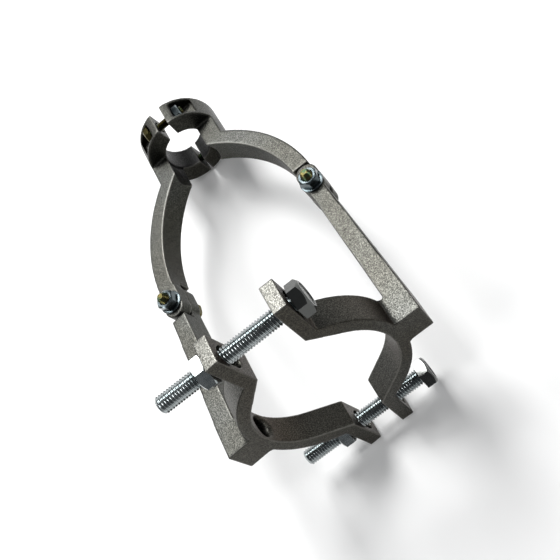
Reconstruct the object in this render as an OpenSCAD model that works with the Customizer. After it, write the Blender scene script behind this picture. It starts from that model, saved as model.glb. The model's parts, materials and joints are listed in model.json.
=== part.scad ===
// Two-armed bracket that holds a hollow chisel in line with a hand drill.
// A large two-piece clamp grips the drill, a small one grips the chisel's shank, and two
// hinged arms join them. Each half is the same pair of castings turned half a turn.

/* [Large clamp] */
// Height of the large clamp's ring
clamp_h = 10.8; // [9.6:0.2:12.6]
// Radius of the gripping arc in each half
grip_r = 25.9; // [24.3:0.1:27]
// Distance from the clamp's axis to each mating face
face_off = 7.6; // [6.8:0.1:8.1]
// Half width of the mouth between the gripping arc's flanks
mouth_half = 28.1; // [27.5:0.1:28.8]
// Half length of the flanged face
flange_half = 47.3; // [46.3:0.5:50.3]
// Thickness of the flanges
flange_t = 4.8; // [4.1:0.1:5.4]
// Radius of the ring's outer wall
wall_r = 33.5; // [33.2:0.1:34.2]
// Angle between the two mating faces as the clamp stands open
skew = 6.5; // [0:0.5:7]

/* [Arms] */
// Depth of the lower arm at the ring
arm_depth = 12.6; // [11.8:0.2:13.4]
// Depth of both arms at the pivot
pivot_depth = 11.2; // [10.8:0.1:11.7]
// Height of the pivot above the large clamp's open face
pivot_z = 68.6; // [65:0.9:72.2]
// Distance of the pivot from the clamp's axis
pivot_x = 33.9; // [33.8:0.1:34.2]
// Half width of the rounded eyes at the pivot
eye_r = 4.2; // [4:0.1:4.4]

/* [Shank clamp] */
// Height of the small clamp's open face
ring_z = 131.7; // [129.7:0.5:134.2]
// Height of the small clamp's ring
ring_h = 11.7; // [11.3:0.2:12.5]
// Radius of the small clamp's bore
bore_r = 9.4; // [9:0.1:9.5]
// Outer radius of the small clamp's ring
ring_r = 17; // [16.9:0.1:17.5]
// Width of the slit between the two small clamp halves
slit = 2.9; // [2.5:0.1:3.1]

/* [Fasteners] */
// Thread diameter of the two long clamp bolts
clamp_bolt_d = 6; // [5:1:6]
// Length of the long clamp bolts under the head
clamp_bolt_len = 50; // [45:5:55]
// Distance of the near clamp bolt from the clamp's axis
near_bolt_y = 38.8; // [38.1:0.1:39.5]
// Distance of the far clamp bolt from the clamp's axis
far_bolt_y = 38.3; // [37.9:0.1:39.5]
// Distance that the near bolt's head stands off its flange
near_standoff = 0.5; // [0.1:0.1:1.8]
// Distance that the far bolt's head stands off its flange
far_standoff = 10; // [7.5:0.5:11]
// Thread diameter of the two pivot bolts
pivot_bolt_d = 4; // [3.5:0.5:4]
// Thread diameter of the two shank clamp screws
shank_screw_d = 3.5; // [3:0.5:3.5]
// Distance of the shank clamp screws from the clamp's axis
shank_screw_y = 13; // [12.8:0.1:13.2]

/* [Hidden] */

$fn = 96;
eps = 0.02;
run_fit = 0.05;      // radial clearance of a pin that turns in its hole
seat_gap = 0.05;     // clearance under a head or nut that can turn
pivot_gap = 0.1;     // clearance under a pivot's washer and head
lap_gap = 0.3;       // gap between the two tongues of a pivot

// Ring wall: the outer arc is wider than the gripping arc, so its centre lies behind the axis
wall_centre_x = -3.5;
root_fillet = 2.9;
face_x = face_off;
flange_back_x = face_off + flange_t;
slot_y = 38.7;
slot_w = clamp_bolt_d + 0.8;
slot_len = 10.8;
socket_r = 3.8;
socket_depth = 9;
socket_chamfer = 0.7;

// Lower arm: a straight bar that thins a little towards the pivot
arm_in_x = 31.1;
arm_out_x = 38.7;
pivot_half_t = 3;
lower_shoulder_z = pivot_z - 7.6;
upper_shoulder_z = pivot_z + 9.6;

// Upper arm: the band between two arcs that bulge outwards
arc_in_r = 56.7;
arc_in_x = -26.5;
arc_in_z = pivot_z + 6.5;
arc_out_r = 60;
arc_out_x = -23;
arc_out_z = pivot_z + 7;
column_z = 113.4;
column_relief = 0.5;

// Screw pockets in the small ring
pocket_x = 5;
pocket_end_x = 13;
pocket_h = 8.6;
nut_floor_y = shank_screw_y - 3.6;
head_floor_y = shank_screw_y - 4.3;
tilt_hole_r = shank_screw_d / 2 + 1;

// Fastener proportions
clamp_head_af = 10;
clamp_head_h = 4.3;
clamp_nut_af = 10;
clamp_nut_h = 4.8;
pivot_nut_af = 7;
pivot_nut_h = 3.4;
pivot_head_af = 7;
pivot_head_h = 2.4;
pivot_washer_d = 9;
pivot_washer_t = 0.8;
pivot_tail = 2.4;
tongue_t = (pivot_depth - lap_gap) / 2;
pivot_top = pivot_depth / 2 + pivot_gap;
shank_head_af = 6;
shank_head_h = 2.4;
shank_nut_h = 2.8;
shank_screw_len = 16;

// The bracket lies on the ends of its far flanges and the rim of its small ring
half_skew = skew / 2;
top_z = ring_z + ring_h;
flange_rest_y = flange_half * cos(half_skew) + flange_back_x * sin(half_skew);
ring_edge_y = sqrt(pow(ring_r, 2) - pow(slit / 2, 2));
ring_far_y = ring_edge_y * cos(half_skew) + slit / 2 * sin(half_skew);
ring_near_y = ring_edge_y * cos(half_skew) - slit / 2 * sin(half_skew);
rest_tilt = atan((flange_rest_y - ring_far_y) / (top_z - clamp_h));
rest_height = flange_rest_y * cos(rest_tilt) + clamp_h * sin(rest_tilt);
front_y = -flange_rest_y * sin(rest_tilt);
back_y = ring_near_y * sin(rest_tilt) + top_z * cos(rest_tilt);

// Axes: X along the clamp bolts, Y from the large clamp to the small one, Z up
module lay_down() {
  translate([0, -(front_y + back_y) / 2, rest_height]) rotate([-(90 + rest_tilt), 0, 0]) children();
}

// The right half's own frame: Z is the clamp's axis, X points through the arm
module right_half() {
  lay_down() rotate([0, 0, half_skew]) children();
}

module left_half() {
  lay_down() rotate([0, 0, 180 - half_skew]) children();
}

// Outline of everything that the drill's body may fill, with straight flanks to the mouth
module grip_outline() {
  reach = norm([face_x, mouth_half]);
  touch = atan2(mouth_half, face_x) - acos(grip_r / reach);
  circle(r = grip_r, $fn = 180);
  for (side = [-1, 1]) {
    polygon([
      [0, 0],
      [grip_r * cos(touch), side * grip_r * sin(touch)],
      [face_x, side * mouth_half],
      [0, side * mouth_half]
    ]);
  }
}

// Concave corner between the ring's outer wall and the block under the arm
module root_fillet_outline() {
  y = arm_depth / 2 + root_fillet;
  difference() {
    translate([arm_in_x - 6, 0]) square([6, y]);
    translate([arm_in_x, y]) circle(r = root_fillet);
  }
}

module ring_outline() {
  intersection() {
    translate([wall_centre_x, 0]) circle(r = wall_r, $fn = 180);
    translate([face_x, -wall_r]) square([wall_r, 2 * wall_r]);
  }
  translate([face_x, -flange_half]) square([flange_t, 2 * flange_half]);
  translate([arm_in_x - 6, -arm_depth / 2]) square([arm_out_x - arm_in_x + 6, arm_depth]);
  root_fillet_outline();
  mirror([0, 1]) root_fillet_outline();
}

module bolt_slot(y) {
  travel = slot_len - slot_w;
  for (end = [-1, 1]) {
    translate([face_x - 1, y + end * travel / 2, clamp_h / 2])
      rotate([0, 90, 0]) cylinder(d = slot_w, h = flange_t + 2);
  }
  translate([face_x - 1, y - travel / 2, clamp_h / 2 - slot_w / 2]) cube([flange_t + 2, travel, slot_w]);
}

module side_socket() {
  mouth_x = grip_r - 0.6;
  translate([mouth_x, 0, clamp_h / 2]) rotate([0, 90, 0]) cylinder(r = socket_r, h = socket_depth);
  translate([mouth_x - eps, 0, clamp_h / 2]) rotate([0, 90, 0])
    cylinder(r1 = socket_r + socket_chamfer + 0.6, r2 = socket_r, h = socket_chamfer + 0.6);
}

// Strap with two rounded ends, seen along the pivot's axis
module eye(y, depth, z_low, z_high) {
  for (z = [z_low, z_high]) {
    translate([pivot_x, y + depth, z]) rotate([90, 0, 0]) cylinder(r = eye_r, h = depth);
  }
  translate([pivot_x - eye_r, y, z_low]) cube([2 * eye_r, depth, z_high - z_low]);
}

module pivot_hole() {
  translate([pivot_x, 20, pivot_z]) rotate([90, 0, 0])
    cylinder(r = pivot_bolt_d / 2 + run_fit, h = 40);
}

module lower_bar() {
  top_in = pivot_x - pivot_half_t;
  top_out = pivot_x + pivot_half_t;
  intersection() {
    rotate([90, 0, 0]) linear_extrude(height = 2 * arm_depth, center = true) polygon([
      [arm_in_x, 0],
      [arm_out_x, 0],
      [arm_out_x, clamp_h],
      [top_out, pivot_z],
      [top_in, pivot_z],
      [arm_in_x, clamp_h]
    ]);
    rotate([90, 0, 90]) linear_extrude(height = 60) polygon([
      [-arm_depth / 2, 0],
      [arm_depth / 2, 0],
      [arm_depth / 2, clamp_h],
      [pivot_depth / 2, pivot_z],
      [-pivot_depth / 2, pivot_z],
      [-arm_depth / 2, clamp_h]
    ]);
  }
}

module lower_casting() {
  difference() {
    union() {
      linear_extrude(height = clamp_h) ring_outline();
      difference() {
        lower_bar();
        translate([0, -lap_gap / 2, lower_shoulder_z]) cube([60, arm_depth, 30]);
      }
      eye(-pivot_depth / 2, tongue_t, pivot_z - 0.9, pivot_z + 5);
    }
    translate([0, 0, -1]) linear_extrude(height = clamp_h + 2) grip_outline();
    bolt_slot(-slot_y);
    bolt_slot(slot_y);
    side_socket();
    pivot_hole();
  }
}

module arc_cylinder(x, z, r) {
  translate([x, 50, z]) rotate([90, 0, 0]) cylinder(r = r, h = 100, $fn = 240);
}

// Part of the bulging arm between two heights
module arm_band(y, depth, z_low, z_high) {
  intersection() {
    arc_cylinder(arc_out_x, arc_out_z, arc_out_r);
    translate([0, y, z_low]) cube([100, depth, z_high - z_low]);
  }
}

module screw_pocket(side) {
  y = side > 0 ? head_floor_y : -nut_floor_y - 20;
  translate([pocket_x, y, ring_z + (ring_h - pocket_h) / 2])
    cube([pocket_end_x - pocket_x, 20, pocket_h]);
}

module cross_hole(y, r) {
  translate([0, y, ring_z + ring_h / 2]) rotate([0, 90, 0]) cylinder(r = r, h = pocket_x + 2);
}

module upper_casting() {
  difference() {
    union() {
      difference() {
        union() {
          arm_band(-pivot_depth / 2, pivot_depth, upper_shoulder_z, ring_z);
          arm_band(lap_gap / 2, tongue_t, pivot_z, upper_shoulder_z + 1);
          intersection() {
            translate([0, 0, column_z]) cylinder(r = ring_r, h = ring_z - column_z + 1, $fn = 144);
            translate([0, -pivot_depth / 2, 0]) cube([100, pivot_depth, 200]);
          }
        }
        arc_cylinder(arc_in_x, arc_in_z, arc_in_r);
      }
      translate([0, 0, ring_z]) intersection() {
        cylinder(r = ring_r, h = ring_h, $fn = 144);
        translate([slit / 2, -50, -1]) cube([100, 100, ring_h + 2]);
      }
      eye(lap_gap / 2, tongue_t, pivot_z - 2.1, pivot_z + 5.4);
    }
    translate([0, 0, ring_z - 1]) cylinder(r = bore_r, h = ring_h + 2, $fn = 144);
    translate([0, 0, column_z]) cylinder(r = bore_r + column_relief, h = ring_z - column_z, $fn = 144);
    screw_pocket(-1);
    screw_pocket(1);
    cross_hole(-shank_screw_y, shank_screw_d / 2 + run_fit);
    cross_hole(shank_screw_y + 0.1, tilt_hole_r);
    pivot_hole();
  }
}

module hex_prism(af, h) {
  cylinder(d = af / cos(30), h = h, $fn = 6);
}

// Hexagon with one chamfered end, at the top
module hex_head(af, h) {
  corner_r = af / cos(30) / 2;
  intersection() {
    hex_prism(af, h);
    cylinder(r1 = corner_r + h * 1.6, r2 = af * 0.46, h = h * 1.02);
    cylinder(r = corner_r + 1, h = h);
  }
}

module hex_nut(af, h, hole_r) {
  corner_r = af / cos(30) / 2;
  difference() {
    intersection() {
      hex_prism(af, h);
      translate([0, 0, -h]) cylinder(r1 = corner_r + h * 2.4, r2 = af * 0.46, h = h * 2.02);
      translate([0, 0, -0.02 * h]) cylinder(r1 = af * 0.46, r2 = corner_r + h * 2.4, h = h * 2.02);
    }
    translate([0, 0, -1]) cylinder(r = hole_r, h = h + 2);
  }
}

// Bolt along -Z from the underside of its head, with a chamfered tip
module hex_bolt(d, length, af, head_h) {
  tip = d * 0.12;
  hex_head(af, head_h);
  translate([0, 0, -length + tip]) cylinder(d = d, h = length - tip);
  translate([0, 0, -length]) cylinder(r1 = d / 2 - tip, r2 = d / 2, h = tip);
}

// Clamp bolts lie along the right half's X axis, with their heads on the right
module on_clamp_bolt(y, x) {
  right_half() translate([x, y, clamp_h / 2]) rotate([0, 90, 0]) children();
}

// How far a nut or head stands off a face that is turned from it by the skew
function wedge_room(af) = af / 2 / cos(30) * tan(skew) + seat_gap;

// Where the other half's face at depth x crosses a bolt, in this half's frame
function far_face_x(x, y) = -(x - y * sin(skew)) / cos(skew);

module clamp_bolt(y, standoff, spin) {
  color("gainsboro") on_clamp_bolt(y, flange_back_x + standoff) rotate([0, 0, spin])
    hex_bolt(clamp_bolt_d, clamp_bolt_len, clamp_head_af, clamp_head_h);
}

module clamp_nut(y) {
  seat_x = far_face_x(flange_back_x, y) - wedge_room(clamp_nut_af);
  color("silver") on_clamp_bolt(y, seat_x - clamp_nut_h)
    hex_nut(clamp_nut_af, clamp_nut_h, clamp_bolt_d / 2 + run_fit);
}

// Pivot fasteners: nut and washer up, head below, on either half
module on_pivot(turn) {
  side = turn > 0 ? -1 : 1;
  lay_down() rotate([0, 0, turn > 0 ? 180 - half_skew : half_skew])
    translate([pivot_x, 0, pivot_z]) rotate([side * 90, 0, 0]) rotate([0, 0, 15]) children();
}

module pivot_bolt(turn) {
  length = pivot_depth + 2 * pivot_gap + pivot_washer_t + pivot_nut_h + pivot_tail;
  color("darkkhaki") on_pivot(turn) translate([0, 0, pivot_top + pivot_washer_t + pivot_nut_h + pivot_tail])
    mirror([0, 0, 1]) translate([0, 0, length])
    hex_bolt(pivot_bolt_d, length, pivot_head_af, pivot_head_h);
}

module pivot_nut(turn) {
  color("silver") on_pivot(turn) translate([0, 0, pivot_top + pivot_washer_t + eps])
    hex_nut(pivot_nut_af, pivot_nut_h, pivot_bolt_d / 2 + eps);
}

module pivot_washer(turn) {
  color("silver") on_pivot(turn) translate([0, 0, pivot_top]) difference() {
    cylinder(d = pivot_washer_d, h = pivot_washer_t);
    translate([0, 0, -1]) cylinder(r = pivot_bolt_d / 2 + eps, h = pivot_washer_t + 2);
  }
}

// Shank screws run across the slit: the nut sits in one half's pocket, the head in the other's
module on_shank_screw(half) {
  lay_down() rotate([0, 0, half > 0 ? 180 - half_skew : half_skew])
    translate([0, -shank_screw_y, ring_z + ring_h / 2]) rotate([0, 90, 0]) children();
}

module shank_screw(half) {
  opening = half > 0 ? 1 : -1;
  head_x = far_face_x(pocket_x, opening * shank_screw_y) - wedge_room(shank_head_af) - 0.3;
  color("khaki") on_shank_screw(half) translate([0, 0, head_x]) mirror([0, 0, 1])
    hex_bolt(shank_screw_d, shank_screw_len, shank_head_af, shank_head_h);
}

module shank_nut(half) {
  color("lightsteelblue") on_shank_screw(half) translate([0, 0, pocket_x + seat_gap]) rotate([0, 0, 30])
    hex_nut(shank_head_af, shank_nut_h, shank_screw_d / 2 + run_fit);
}

module lower_casting_left() { color("#45443f") left_half() lower_casting(); }
module lower_casting_right() { color("#4b4a45") right_half() lower_casting(); }
module upper_casting_left() { color("#55544f") left_half() upper_casting(); }
module upper_casting_right() { color("#5b5a55") right_half() upper_casting(); }
module clamp_bolt_near() { clamp_bolt(-near_bolt_y, near_standoff, 30); }
module clamp_bolt_far() { clamp_bolt(far_bolt_y, far_standoff, 0); }
module clamp_nut_near() { clamp_nut(-near_bolt_y); }
module clamp_nut_far() { clamp_nut(far_bolt_y); }
module pivot_bolt_left() { pivot_bolt(1); }
module pivot_bolt_right() { pivot_bolt(0); }
module pivot_nut_left() { pivot_nut(1); }
module pivot_nut_right() { pivot_nut(0); }
module pivot_washer_left() { pivot_washer(1); }
module pivot_washer_right() { pivot_washer(0); }
module shank_screw_near() { shank_screw(0); }
module shank_screw_far() { shank_screw(1); }
module shank_nut_near() { shank_nut(0); }
module shank_nut_far() { shank_nut(1); }

lower_casting_left();
lower_casting_right();
upper_casting_left();
upper_casting_right();
clamp_bolt_near();
clamp_bolt_far();
clamp_nut_near();
clamp_nut_far();
pivot_bolt_left();
pivot_bolt_right();
pivot_nut_left();
pivot_nut_right();
pivot_washer_left();
pivot_washer_right();
shank_screw_near();
shank_screw_far();
shank_nut_near();
shank_nut_far();
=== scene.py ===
import json
import math

import bmesh
import bpy
import numpy as np
from mathutils import Matrix, Vector


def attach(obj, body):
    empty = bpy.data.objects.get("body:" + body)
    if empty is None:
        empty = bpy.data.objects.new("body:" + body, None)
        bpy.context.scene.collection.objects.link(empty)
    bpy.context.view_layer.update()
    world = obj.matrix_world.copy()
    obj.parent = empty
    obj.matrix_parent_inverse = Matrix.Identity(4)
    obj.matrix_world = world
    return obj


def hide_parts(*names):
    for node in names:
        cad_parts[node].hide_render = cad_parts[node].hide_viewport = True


# The looks of a hinged bracket with two clamps. From its shape it is taken for a holder that keeps
# a hollow chisel in line with a hand drill.
# Lengths are in metres. X runs along the clamp bolts, Y from the large clamp to the small one.

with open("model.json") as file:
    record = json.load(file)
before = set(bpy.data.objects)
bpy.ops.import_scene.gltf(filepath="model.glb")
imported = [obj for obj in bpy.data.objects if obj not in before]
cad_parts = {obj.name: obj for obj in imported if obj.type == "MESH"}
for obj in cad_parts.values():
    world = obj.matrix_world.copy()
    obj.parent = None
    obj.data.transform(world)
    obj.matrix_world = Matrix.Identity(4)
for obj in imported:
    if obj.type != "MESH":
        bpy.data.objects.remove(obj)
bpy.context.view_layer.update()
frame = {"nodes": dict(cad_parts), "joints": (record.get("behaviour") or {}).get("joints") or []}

MM = 0.001
JOINTS = {joint["name"]: joint for joint in frame["joints"]}


# ---------------------------------------------------------------- materials

# Noise scales, in features per metre
GRAIN_SCALE, LUMP_SCALE, DRIFT_SCALE = 2450, 690, 34
CLOUD_SCALE, PATCH_SCALE, PLATING_SCALE = 420, 520, 2600
FLOOR_TONE_SCALE, FLOOR_GRAIN_SCALE = 3, 900

# Linear colours, one for each stop of the noise that mixes them
DRIFT_STOPS = (0.36, 0.52, 0.68)
# Flat faces lighter than the sides: partly dressed metal, partly painted light where they face the
# light
DRESSED_FACE_LIT = ((0.058, 0.057, 0.050), (0.064, 0.064, 0.057), (0.070, 0.071, 0.066))
CAST_SKIN_SHADED = ((0.034, 0.032, 0.025), (0.038, 0.038, 0.031), (0.043, 0.044, 0.039))
SPECKLE_STOPS = (0.36, 0.5, 0.64)
SPECKLE = ((0.35, 0.35, 0.35), (1.0, 1.0, 1.0), (2.2, 2.2, 2.2))
CLOUD_STOPS = (0.3, 0.7)
PATCH_STOPS = (0.48, 0.6)
PATCH_MASK = ((0, 0, 0), (1, 1, 1))
FLOOR_TONE = ((0.86, 0.86, 0.855), (0.89, 0.89, 0.885))

# Linear colours of the marks painted on the castings
RING_BROWN = (0.036, 0.026, 0.018)
# Painted shade: the small ring's bore nearly black; its sides are darkened too
RING_BLACK = (0.014, 0.014, 0.014)
BARE_METAL = (0.20, 0.198, 0.182)
# Bright worn edges, also a painted highlight; they are kept off the outer side
WORN_EDGE_AND_HIGHLIGHT = (0.26, 0.255, 0.235)
# Painted shade in hollows, also a painted dark reflection on the outer rounded edges
PAINTED_SHADE = (0.012, 0.011, 0.009)

METAL, NOT_METAL = 1.0, 0.0
CLOUD_SMOOTHER, CLOUD_ROUGHER = 0.05, 0.08
FLOOR_ROUGHNESS = 0.85

# Sockets of a Mix node that is set to colours
MIX_FACTOR, MIX_A, MIX_B, MIX_RESULT = 0, 6, 7, 2


class Nodes:
    """Short names for building one material's node tree."""

    def __init__(self, name):
        self.material = bpy.data.materials.new(name)
        self.material.use_nodes = True
        self.tree = self.material.node_tree
        self.shader = self.tree.nodes["Principled BSDF"]

    def add(self, kind, **values):
        node = self.tree.nodes.new(kind)
        for key, value in values.items():
            setattr(node, key, value)
        return node

    def feed(self, sockets, values):
        """Links each named or numbered socket, or gives it a colour or a number."""
        for key, value in values.items():
            if isinstance(value, bpy.types.NodeSocket):
                self.tree.links.new(value, sockets[key])
            elif isinstance(value, tuple):
                sockets[key].default_value = (*value, 1)
            else:
                sockets[key].default_value = value

    def noise(self, scale, detail=2.0, roughness=0.5):
        node = self.add("ShaderNodeTexNoise")
        place = self.add("ShaderNodeTexCoord").outputs["Object"]
        self.feed(node.inputs, {
            "Scale": scale, "Detail": detail, "Roughness": roughness, "Vector": place,
        })
        return node.outputs["Fac"]

    def painted(self, name):
        return self.add("ShaderNodeAttribute", attribute_name=name).outputs["Fac"]

    def ramp(self, source, stops, colours):
        node = self.add("ShaderNodeValToRGB")
        elements = node.color_ramp.elements
        while len(elements) < len(stops):
            elements.new(0.5)
        for element, position, colour in zip(elements, stops, colours):
            element.position = position
            element.color = (*colour, 1)
        self.feed(node.inputs, {"Fac": source})
        return node.outputs["Color"]

    def mix(self, factor, a, b, blend="MIX"):
        node = self.add("ShaderNodeMix", data_type="RGBA", blend_type=blend)
        self.feed(node.inputs, {MIX_FACTOR: factor, MIX_A: a, MIX_B: b})
        return node.outputs[MIX_RESULT]

    def range(self, source, low, high, from_low, from_high):
        """Maps from_low and from_high onto low and high."""
        node = self.add("ShaderNodeMapRange")
        self.feed(node.inputs, {
            "From Min": from_low, "From Max": from_high,
            "To Min": low, "To Max": high, "Value": source,
        })
        return node.outputs["Result"]

    def bump(self, height, strength, distance, onto=None):
        node = self.add("ShaderNodeBump")
        self.feed(node.inputs, {"Strength": strength, "Distance": distance, "Height": height})
        if onto is not None:
            self.feed(node.inputs, {"Normal": onto})
        return node.outputs["Normal"]

    def finish(self, colour, metallic, roughness, normal):
        """Feeds the shader and gives back the material."""
        self.feed(self.shader.inputs, {
            "Base Color": colour, "Metallic": metallic, "Roughness": roughness, "Normal": normal,
        })
        return self.material


def casting_material():
    """Dark blasted iron: a fine grain on a slow drift, coloured by the marks on the mesh."""
    n = Nodes("cast_metal")
    grain = n.noise(GRAIN_SCALE, detail=4, roughness=0.7)
    lumps = n.noise(LUMP_SCALE, detail=2)
    drift = n.noise(DRIFT_SCALE, detail=3)
    dressed = n.ramp(drift, DRIFT_STOPS, DRESSED_FACE_LIT)
    cast = n.ramp(drift, DRIFT_STOPS, CAST_SKIN_SHADED)
    # The sides take the darker cast skin: partly its own colour, partly painted shade
    base = n.mix(n.painted("raw_and_shaded"), dressed, cast)
    base = n.mix(n.painted("brown"), base, RING_BROWN)
    # Painted shade in the small ring's bore, its sides a little darker
    base = n.mix(n.painted("black"), base, RING_BLACK)
    base = n.mix(n.painted("bare"), base, BARE_METAL)
    speckle = n.ramp(grain, SPECKLE_STOPS, SPECKLE)
    colour = n.mix(1.0, base, speckle, "MULTIPLY")
    # Bright worn edges, also a painted highlight
    colour = n.mix(n.painted("wear_and_highlight"), colour, WORN_EDGE_AND_HIGHLIGHT)
    # Painted shade in hollows and a painted dark reflection on the outer edges
    colour = n.mix(n.painted("hollow"), colour, PAINTED_SHADE)
    roughness = n.range(grain, low=0.50, high=0.34, from_low=0.35, from_high=0.65)
    normal = n.bump(lumps, strength=0.30, distance=0.2 * MM)
    normal = n.bump(grain, strength=0.55, distance=0.14 * MM, onto=normal)
    return n.finish(colour, METAL, roughness, normal)


def zinc_material(name, low, high, head, roughness, patch=None):
    """Plated steel: a cloudy coat, bolt heads in a colour of their own that paints a dark
    reflection on them and, on request, patches.
    """
    n = Nodes(name)
    cloud = n.noise(CLOUD_SCALE, detail=3)
    colour = n.ramp(cloud, CLOUD_STOPS, (low, high))
    if patch is not None:
        where = n.ramp(n.noise(PATCH_SCALE, detail=1), PATCH_STOPS, PATCH_MASK)
        colour = n.mix(where, colour, patch)
    # Bolt heads take the head colour, a painted dark reflection
    colour = n.mix(n.painted("head"), colour, head)
    cloudy = n.range(cloud, roughness - CLOUD_SMOOTHER, roughness + CLOUD_ROUGHER, *CLOUD_STOPS)
    normal = n.bump(n.noise(PLATING_SCALE), strength=0.25, distance=0.03 * MM)
    return n.finish(colour, METAL, cloudy, normal)


def floor_material():
    n = Nodes("pale_floor")
    tone = n.ramp(n.noise(FLOOR_TONE_SCALE, detail=2), CLOUD_STOPS, FLOOR_TONE)
    normal = n.bump(n.noise(FLOOR_GRAIN_SCALE), strength=0.05, distance=0.1 * MM)
    return n.finish(tone, NOT_METAL, FLOOR_ROUGHNESS, normal)


MATERIALS = {
    "casting": casting_material(),
    "clamp_steel": zinc_material(
        "bright_zinc",
        low=(0.29, 0.32, 0.325),
        high=(0.43, 0.46, 0.465),
        head=(0.085, 0.088, 0.085),
        roughness=0.19,
    ),
    "yellow_zinc": zinc_material(
        "yellow_zinc",
        low=(0.05, 0.042, 0.016),
        high=(0.13, 0.112, 0.042),
        head=(0.09, 0.078, 0.03),
        roughness=0.24,
        patch=(0.04, 0.065, 0.035),
    ),
    "blue_zinc": zinc_material(
        "blue_zinc",
        low=(0.07, 0.09, 0.097),
        high=(0.15, 0.175, 0.183),
        head=(0.1, 0.12, 0.13),
        roughness=0.22,
    ),
}


# ---------------------------------------------------------------- placing pieces

# A vertex this near the farthest one from a fastener's axis is on a corner or the rim
CORNER_SHARE = 0.97


def add_piece(name, mesh, node, body, slot):
    """Shows a mesh in the row frame in place of a CAD node."""
    piece = bpy.data.objects.new(name, mesh)
    bpy.context.scene.collection.objects.link(piece)
    mesh.materials.clear()
    mesh.materials.append(MATERIALS[slot])
    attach(piece, body)
    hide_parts(node)


def mark(mesh, name, values):
    """Writes one value per vertex, for Nodes.painted to read."""
    attribute = mesh.attributes.new(name, "FLOAT", "POINT")
    attribute.data.foreach_set("value", np.asarray(values, dtype=np.float32))


def node_points(node):
    return [vertex.co.copy() for vertex in frame["nodes"][node].data.vertices]


def joint_axis(name):
    return Vector(JOINTS[name]["axis"]).normalized()


def fastener_matrix(node, joint):
    """Fastener space to row frame: origin at the plain end, Z to the head, X through a corner."""
    axis = joint_axis(joint)
    start = Vector(JOINTS[joint]["pos_m"])
    points = node_points(node)
    along = [(point - start).dot(axis) for point in points]
    away = [(point - start) - axis * t for point, t in zip(points, along)]
    corner = max(away, key=lambda v: v.length)
    corners = [t for t, v in zip(along, away) if v.length > CORNER_SHARE * corner.length]
    low, high = min(along), max(along)
    if sum(corners) / len(corners) < (low + high) / 2:
        axis, low, high = -axis, -high, -low
    x = corner.normalized()
    matrix = Matrix((x, axis.cross(x), axis)).transposed().to_4x4()
    matrix.translation = start + axis * low
    return matrix, high - low


# ---------------------------------------------------------------- fastener shapes

COLUMNS = 48
THREAD_ROWS = 8
THREAD_DEPTH = 0.48  # of the pitch
SHARP_ANGLE = math.radians(32)
WELD = 1e-6
HOLE_ROOM = 0.05 * MM
NUT_MOUTH = 0.4 * MM
HEAD_OVERLAP = 0.05 * MM

# Hexagons: the chamfer's slope, and circles as shares of the width across flats
HEX_CHAMFER = math.tan(math.radians(36))
HEX_CIRCLE = 0.45
BEARING_FACE, BEARING_RIM = 0.46, 0.475
DISH_RIM, DISH_FLOOR = 0.39, 0.36
BEARING_STEP = 0.12 * MM
DISH_DEPTH = 0.3 * MM
NECK = 0.42  # of the thread's diameter, hidden by the thread

# Washers
RIM_ROUND = 0.22 * MM
RIM_SHARE = 0.3
HOLE_CHAMFER = 0.1 * MM


def fastener(d, pitch, af, head, tip):
    """Millimetres: thread diameter and pitch, width across flats, head height and tip chamfer."""
    return {"d": d * MM, "pitch": pitch * MM, "af": af * MM, "head": head * MM, "tip": tip * MM}


CLAMP_BOLT = fastener(d=6, pitch=1, af=10, head=4.3, tip=0.72)
PIVOT_BOLT = fastener(d=4, pitch=0.7, af=7, head=2.4, tip=0.8)
SHANK_SCREW = fastener(d=3.5, pitch=0.6, af=6, head=2.4, tip=0.42)


def weld(bm):
    bmesh.ops.remove_doubles(bm, verts=bm.verts, dist=WELD)
    bmesh.ops.dissolve_degenerate(bm, edges=bm.edges, dist=WELD)


def finished_mesh(bm, name):
    """Turns a bmesh into a mesh in fastener space, smooth except over sharp edges."""
    weld(bm)
    bmesh.ops.recalc_face_normals(bm, faces=bm.faces)
    for face in bm.faces:
        face.smooth = True
    for edge in bm.edges:
        edge.smooth = len(edge.link_faces) == 2 and edge.calc_face_angle(0) < SHARP_ANGLE
    mesh = bpy.data.meshes.new(name)
    bm.to_mesh(mesh)
    bm.free()
    return mesh


def ring(bm, radius, height):
    """One closed ring of vertices. Radius and height are numbers or functions of the angle."""
    verts = []
    for i in range(COLUMNS):
        angle = 2 * math.pi * i / COLUMNS
        r = radius(angle) if callable(radius) else radius
        z = height(angle) if callable(height) else height
        verts.append(bm.verts.new((r * math.cos(angle), r * math.sin(angle), z)))
    return verts


def skin(bm, rings, join_ends=False):
    """Quads between rings that follow one another, with a disc on each end or the ends joined."""
    pairs = list(zip(rings, rings[1:]))
    if join_ends:
        pairs.append((rings[-1], rings[0]))
    for low, high in pairs:
        for i in range(COLUMNS):
            j = (i + 1) % COLUMNS
            bm.faces.new((low[i], low[j], high[j], high[i]))
    if not join_ends:
        bm.faces.new(list(reversed(rings[0])))
        bm.faces.new(rings[-1])


def hex_radius(af):
    sixth = math.pi / 3
    return lambda angle: af / 2 / math.cos((angle % sixth) - sixth / 2)


def chamfer_drop(af):
    """How far the chamfer has fallen where it meets a flat or a corner."""
    around = hex_radius(af)
    circle = HEX_CIRCLE * af
    return lambda angle: (around(angle) - circle) * HEX_CHAMFER


def hex_head(bm, spec, base):
    """Bolt head above height base, with a chamfered top and a shallow dish."""
    af, top = spec["af"], base + spec["head"]
    drop = chamfer_drop(af)
    skin(bm, [
        ring(bm, spec["d"] * NECK, base),
        ring(bm, BEARING_FACE * af, base),
        ring(bm, BEARING_RIM * af, base + BEARING_STEP),
        ring(bm, hex_radius(af), base + BEARING_STEP),
        ring(bm, hex_radius(af), lambda angle: top - drop(angle)),
        ring(bm, HEX_CIRCLE * af, top),
        ring(bm, DISH_RIM * af, top),
        ring(bm, DISH_FLOOR * af, top - DISH_DEPTH),
    ])


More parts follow.
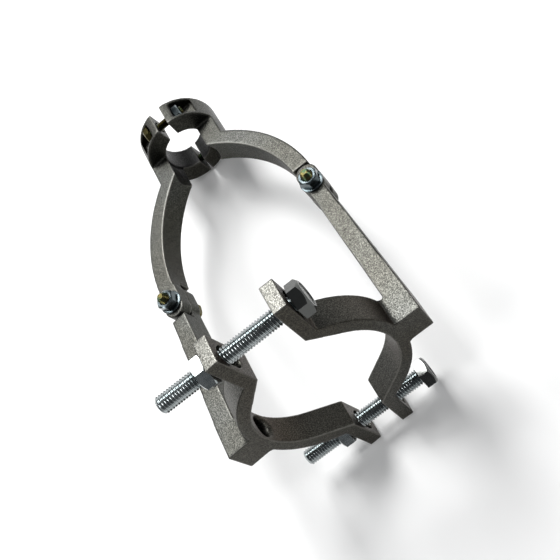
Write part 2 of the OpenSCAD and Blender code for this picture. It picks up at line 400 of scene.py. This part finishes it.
def thread(bm, spec, low, high):
    """A rounded thread between two heights, with a chamfered lower end."""
    pitch, crest = spec["pitch"], spec["d"] / 2
    turns = int((high - low) / pitch) + 3
    rows = []
    for k in range(-THREAD_ROWS, THREAD_ROWS * turns):
        share = (k % THREAD_ROWS) / THREAD_ROWS
        wave = 0.5 - 0.5 * math.cos(2 * math.pi * share)
        radius = crest - THREAD_DEPTH * pitch * wave
        row = []
        for i in range(COLUMNS):
            z = low + pitch * (k // THREAD_ROWS + share + i / COLUMNS - 1)
            z = min(max(z, low), high)
            r = min(radius, crest - spec["tip"] + (z - low))
            angle = 2 * math.pi * i / COLUMNS
            row.append(bm.verts.new((r * math.cos(angle), r * math.sin(angle), z)))
        rows.append(row)
    for k in range(len(rows) - THREAD_ROWS - 1):
        for i in range(COLUMNS):
            # The last column meets the first one a whole turn higher
            a, b = rows[k], rows[k + 1]
            wraps = i + 1 == COLUMNS
            c, d = (rows[k + THREAD_ROWS], rows[k + 1 + THREAD_ROWS]) if wraps else (a, b)
            j = (i + 1) % COLUMNS
            bm.faces.new((a[i], c[j], d[j], b[i]))
    weld(bm)
    bmesh.ops.holes_fill(bm, edges=[e for e in bm.edges if e.is_boundary], sides=0)


def bolt(name, node, body, slot, spec, joint):
    matrix, length = fastener_matrix(node, joint)
    base = length - spec["head"]
    bm = bmesh.new()
    thread(bm, spec, 0, base + HEAD_OVERLAP)
    hex_head(bm, spec, base)
    mesh = finished_mesh(bm, name)
    # The head is marked for its own colour, a painted dark reflection
    mark(mesh, "head", [vertex.co.z > base - HEAD_OVERLAP for vertex in mesh.vertices])
    mesh.transform(matrix)
    add_piece(name, mesh, node, body, slot)


def nut(name, node, body, slot, spec, joint):
    matrix, height = fastener_matrix(node, joint)
    af = spec["af"]
    hole = spec["d"] / 2 + HOLE_ROOM
    drop = chamfer_drop(af)
    bm = bmesh.new()
    skin(bm, [
        ring(bm, hole, NUT_MOUTH),
        ring(bm, hole + NUT_MOUTH, 0),
        ring(bm, HEX_CIRCLE * af, 0),
        ring(bm, hex_radius(af), drop),
        ring(bm, hex_radius(af), lambda angle: height - drop(angle)),
        ring(bm, HEX_CIRCLE * af, height),
        ring(bm, hole + NUT_MOUTH, height),
        ring(bm, hole, height - NUT_MOUTH),
    ], join_ends=True)
    mesh = finished_mesh(bm, name)
    mesh.transform(matrix)
    add_piece(name, mesh, node, body, slot)


def washer(name, node, body, slot, spec, joint):
    """A stamped washer: both edges of its rim rounded, its hole chamfered on top."""
    matrix, height = fastener_matrix(node, joint)
    reach = max((point - matrix.translation).length for point in node_points(node))
    outer = math.sqrt(max(reach ** 2 - height ** 2, 0))
    hole = spec["d"] / 2 + HOLE_ROOM
    slight = RIM_SHARE * RIM_ROUND
    bm = bmesh.new()
    skin(bm, [
        ring(bm, hole, 0),
        ring(bm, outer - RIM_ROUND, 0),
        ring(bm, outer - slight, slight),
        ring(bm, outer, RIM_ROUND),
        ring(bm, outer, height - RIM_ROUND),
        ring(bm, outer - slight, height - slight),
        ring(bm, outer - RIM_ROUND, height),
        ring(bm, hole + HOLE_CHAMFER, height),
        ring(bm, hole, height - HOLE_CHAMFER),
    ], join_ends=True)
    mesh = finished_mesh(bm, name)
    mesh.transform(matrix)
    add_piece(name, mesh, node, body, slot)


# ---------------------------------------------------------------- castings

VOXEL = 0.36 * MM
SMOOTH_ROUNDS, SMOOTH_FACTOR = 3, 0.5
PROUD_ROUNDS = 2

# Where the rings are: heights are measured along the bracket from the foot of the large clamp
CLAMP_FOOT = -75.72 * MM
CLAMP_AXIS = np.array((0, -66.29 * MM, 49.13 * MM))
RING_TOP, SHANK_RING, RING_FADE = 15.3 * MM, 120.6 * MM, 5.4 * MM
BORE_LIMIT, BORE_FADE = 10.4 * MM, 0.5 * MM
FLANGE_END, FLANGE_FADE = 45 * MM, 1 * MM

# Where an edge starts to be painted worn and highlighted and a hollow to be painted in shade, in
# voxels proud or sunk, and how fast
EDGE_START, EDGE_WIDTH = 0.035, 0.10
HOLLOW_START, HOLLOW_WIDTH = 0.05, 0.12

# Limits on a normal's part along an axis, which runs from 0 to 1
SIDE_END, SIDE_WIDTH = 13 / 15, 2 / 3
OUTER_WIDTH = 1 / 3
BORE_WIDTH = 0.5
FLAT_START, FLAT_WIDTH = 0.5, 0.5

# How strong each mark is
WEAR_AND_HIGHLIGHT_LEVEL, SHADE_LEVEL, BARE_LEVEL = 0.6, 0.7, 0.4
BROWN_LEVEL, BROWN_END_LOSS = 0.8, 0.6
BLACK_SIDE_LEVEL = 0.35


def half_matrix(x_joint, y_joint):
    """Axes of one half of the bracket: X along its small clamp's screw, Y along its pivot."""
    x, y = joint_axis(x_joint), joint_axis(y_joint)
    return Matrix((x, y, x.cross(y))).transposed().to_4x4()


def mesh_arrays(mesh):
    points = np.empty(len(mesh.vertices) * 3)
    normals = np.empty(len(mesh.vertices) * 3)
    mesh.vertices.foreach_get("co", points)
    mesh.vertex_normals.foreach_get("vector", normals)
    return points.reshape(-1, 3), normals.reshape(-1, 3)


def prouds_of(mesh, points, normals):
    """How far each vertex stands proud of its neighbours, in voxels: below 0 in a hollow."""
    count = len(points)
    edges = np.empty(len(mesh.edges) * 2, dtype=np.int64)
    mesh.edges.foreach_get("vertices", edges)
    a, b = edges.reshape(-1, 2).T
    degree = np.bincount(a, minlength=count) + np.bincount(b, minlength=count)

    def average(values):
        total = np.zeros_like(values)
        np.add.at(total, a, values[b])
        np.add.at(total, b, values[a])
        return total / degree.reshape((-1,) + (1,) * (values.ndim - 1))

    proud = np.einsum("ij,ij->i", points - average(points), normals) / VOXEL
    for _ in range(PROUD_ROUNDS):
        proud = 0.5 * proud + 0.5 * average(proud)
    return proud


def rise(values, start, width):
    """0 up to start, 1 from start + width on."""
    return np.clip((values - start) / width, 0, 1)


def fall(values, end, width):
    """1 up to end - width, 0 from end on."""
    return np.clip((end - values) / width, 0, 1)


def paint(mesh, matrix):
    """Marks a casting's vertices: worn edges with painted highlights, painted shade, dressed faces
    and both rings.
    """
    points, normals = mesh_arrays(mesh)
    proud = prouds_of(mesh, points, normals)
    outward, across, along = (np.array(matrix.col[i].to_3d()) for i in range(3))
    if (points @ outward).mean() < 0:
        outward = -outward
    if along[1] < 0:
        along = -along
    height = points @ along - CLAMP_FOOT
    x, y = (points - CLAMP_AXIS) @ outward, (points - CLAMP_AXIS) @ across
    from_axis = np.hypot(x, y)
    to_out, to_across, to_along = normals @ outward, normals @ across, normals @ along
    to_axis = -(x * to_out + y * to_across) / from_axis
    flat = np.abs(to_across)

    side = fall(flat, SIDE_END, SIDE_WIDTH)
    outer = rise(to_out, 0, OUTER_WIDTH)
    edge = rise(proud, EDGE_START, EDGE_WIDTH)
    in_ring = fall(height, RING_TOP, RING_FADE)
    in_shank_ring = rise(height, SHANK_RING, RING_FADE)
    in_bore = fall(from_axis, BORE_LIMIT, BORE_FADE) * rise(to_axis, 0, BORE_WIDTH)
    flange_face = rise(flat, FLAT_START, FLAT_WIDTH)
    on_flange = rise(np.abs(y), FLANGE_END, FLANGE_FADE) * in_ring * flange_face
    # Painted shade: sunk places, and the outer rounded edges as a dark reflection
    hollow = np.maximum(rise(-proud, HOLLOW_START, HOLLOW_WIDTH), edge * outer)

    # Worn edges, also a painted highlight, kept off the outer side where the edges get painted
    # shade
    mark(mesh, "wear_and_highlight", edge * (1 - outer) * WEAR_AND_HIGHLIGHT_LEVEL)
    mark(mesh, "hollow", hollow * SHADE_LEVEL)
    # Sides marked for the darker cast skin, partly painted shade
    mark(mesh, "raw_and_shaded", side)
    mark(mesh, "brown", side * in_ring * (BROWN_LEVEL - BROWN_END_LOSS * np.abs(to_along)))
    # Painted shade: the small ring's bore nearly black, its sides darkened
    mark(mesh, "black", in_shank_ring * np.maximum(in_bore, side * BLACK_SIDE_LEVEL))
    mark(mesh, "bare", on_flange * BARE_LEVEL)


def casting(name, node, body, matrix):
    """The CAD casting with its edges rounded as a sand casting's are."""
    source = bpy.data.objects.new("source", frame["nodes"][node].data.copy())
    bpy.context.scene.collection.objects.link(source)
    source.data.transform(matrix.inverted())
    remesh = source.modifiers.new("voxels", "REMESH")
    remesh.mode = "VOXEL"
    remesh.voxel_size = VOXEL
    smooth = source.modifiers.new("soften", "SMOOTH")
    smooth.factor = SMOOTH_FACTOR
    smooth.iterations = SMOOTH_ROUNDS
    bpy.context.view_layer.update()
    shaped = source.evaluated_get(bpy.context.evaluated_depsgraph_get())
    mesh = bpy.data.meshes.new_from_object(shaped)
    bpy.data.objects.remove(source)
    mesh.name = name
    mesh.transform(matrix)
    mesh.shade_smooth()
    paint(mesh, matrix)
    add_piece(name, mesh, node, body, "casting")


# ---------------------------------------------------------------- the pieces

HALVES = {
    "left": half_matrix("far_screw_spin", "left_arm_hinge"),
    "right": half_matrix("near_screw_spin", "right_arm_hinge"),
}
for level in ("lower", "upper"):
    for side, half in HALVES.items():
        casting(f"{level}_arm_{side}", f"{level}_casting_{side}", f"{level}_{side}", half)

bolt("near_bolt", "clamp_bolt_near", "near_clamp_bolt", "clamp_steel", CLAMP_BOLT, "near_bolt_turn")
bolt("far_bolt", "clamp_bolt_far", "far_clamp_bolt", "clamp_steel", CLAMP_BOLT, "far_bolt_spin")
nut("near_nut", "clamp_nut_near", "near_clamp_nut", "clamp_steel", CLAMP_BOLT, "near_nut_spin")
nut("far_nut", "clamp_nut_far", "far_clamp_nut", "clamp_steel", CLAMP_BOLT, "far_nut_spin")

for side in ("left", "right"):
    spin, body = f"{side}_pivot_spin", f"{side}_pivot"
    bolt(f"{side}_bolt", f"pivot_bolt_{side}", body, "yellow_zinc", PIVOT_BOLT, spin)
    nut(f"{side}_nut", f"pivot_nut_{side}", body, "blue_zinc", PIVOT_BOLT, spin)
    washer(f"{side}_washer", f"pivot_washer_{side}", body, "blue_zinc", PIVOT_BOLT, spin)

for end, arm in (("near", "upper_right"), ("far", "upper_left")):
    spin, body = f"{end}_screw_spin", f"{end}_shank_screw"
    bolt(f"{end}_screw", f"shank_screw_{end}", body, "yellow_zinc", SHANK_SCREW, spin)
    nut(f"{end}_screw_nut", f"shank_nut_{end}", arm, "blue_zinc", SHANK_SCREW, spin)


# ---------------------------------------------------------------- floor, light and camera

FLOOR_REACH, FLOOR_STEPS = 4.0, 40
FLAT_REACH, FLOOR_RISE = 2.0, 0.12

# Square cards of light: place, side and power in watts. All face LIT_POINT.
CARDS = {
    "back_card": ((0.09, 0.756, 0.882), 0.45, 13.8),
    "back_left_card": ((-0.414, 0.702, 0.792), 0.405, 5.3),
    "left_card": ((-1.08, -0.09, 0.72), 0.36, 4),
    "right_card": ((1.08, -0.18, 0.72), 0.36, 4),
}
LIT_POINT = Vector((0, 0, 0.027))
ROOM_COLOUR = (0.80, 0.82, 0.85, 1)
ROOM_STRENGTH = 0.22

# The photo's viewpoint, fitted together with the shape to points read off the photo
CAMERA_PLACE = Vector((0.06264, -0.14967, 0.29754))
CAMERA_AIM = Vector((0.00441, -0.01998, 0.03672))
CAMERA_ROLL = math.radians(-61.54)
LENS, SENSOR_WIDTH = 54.6, 36


def pale_floor():
    """A wide floor that turns up gently all round, well away from the object."""
    bm = bmesh.new()
    bmesh.ops.create_grid(bm, x_segments=FLOOR_STEPS, y_segments=FLOOR_STEPS, size=FLOOR_REACH)
    for vert in bm.verts:
        vert.co.z = FLOOR_RISE * max(vert.co.length - FLAT_REACH, 0) ** 2
    for face in bm.faces:
        face.smooth = True
    mesh = bpy.data.meshes.new("floor")
    bm.to_mesh(mesh)
    bm.free()
    mesh.materials.append(floor_material())
    floor = bpy.data.objects.new("floor", mesh)
    bpy.context.scene.collection.objects.link(floor)


def light_card(name, place, side, power):
    lamp = bpy.data.lights.new(name, "AREA")
    lamp.shape = "RECTANGLE"
    lamp.size, lamp.size_y = side, side
    lamp.energy = power
    light = bpy.data.objects.new(name, lamp)
    light.location = place
    light.rotation_euler = (LIT_POINT - Vector(place)).to_track_quat("-Z", "Y").to_euler()
    bpy.context.scene.collection.objects.link(light)


def add_camera():
    data = bpy.data.cameras.new("camera")
    data.lens = LENS
    data.sensor_width = SENSOR_WIDTH
    camera = bpy.data.objects.new("camera", data)
    camera.location = CAMERA_PLACE
    level = (CAMERA_AIM - CAMERA_PLACE).to_track_quat("-Z", "Y").to_matrix().to_4x4()
    camera.rotation_euler = (level @ Matrix.Rotation(CAMERA_ROLL, 4, "Z")).to_euler()
    bpy.context.scene.collection.objects.link(camera)
    bpy.context.scene.camera = camera


pale_floor()
for card, (place, side, power) in CARDS.items():
    light_card(card, place, side, power)

world = bpy.data.worlds.new("room")
world.use_nodes = True
background = world.node_tree.nodes["Background"]
background.inputs["Color"].default_value = ROOM_COLOUR
background.inputs["Strength"].default_value = ROOM_STRENGTH
bpy.context.scene.world = world
bpy.context.scene.view_settings.view_transform = "Standard"

add_camera()
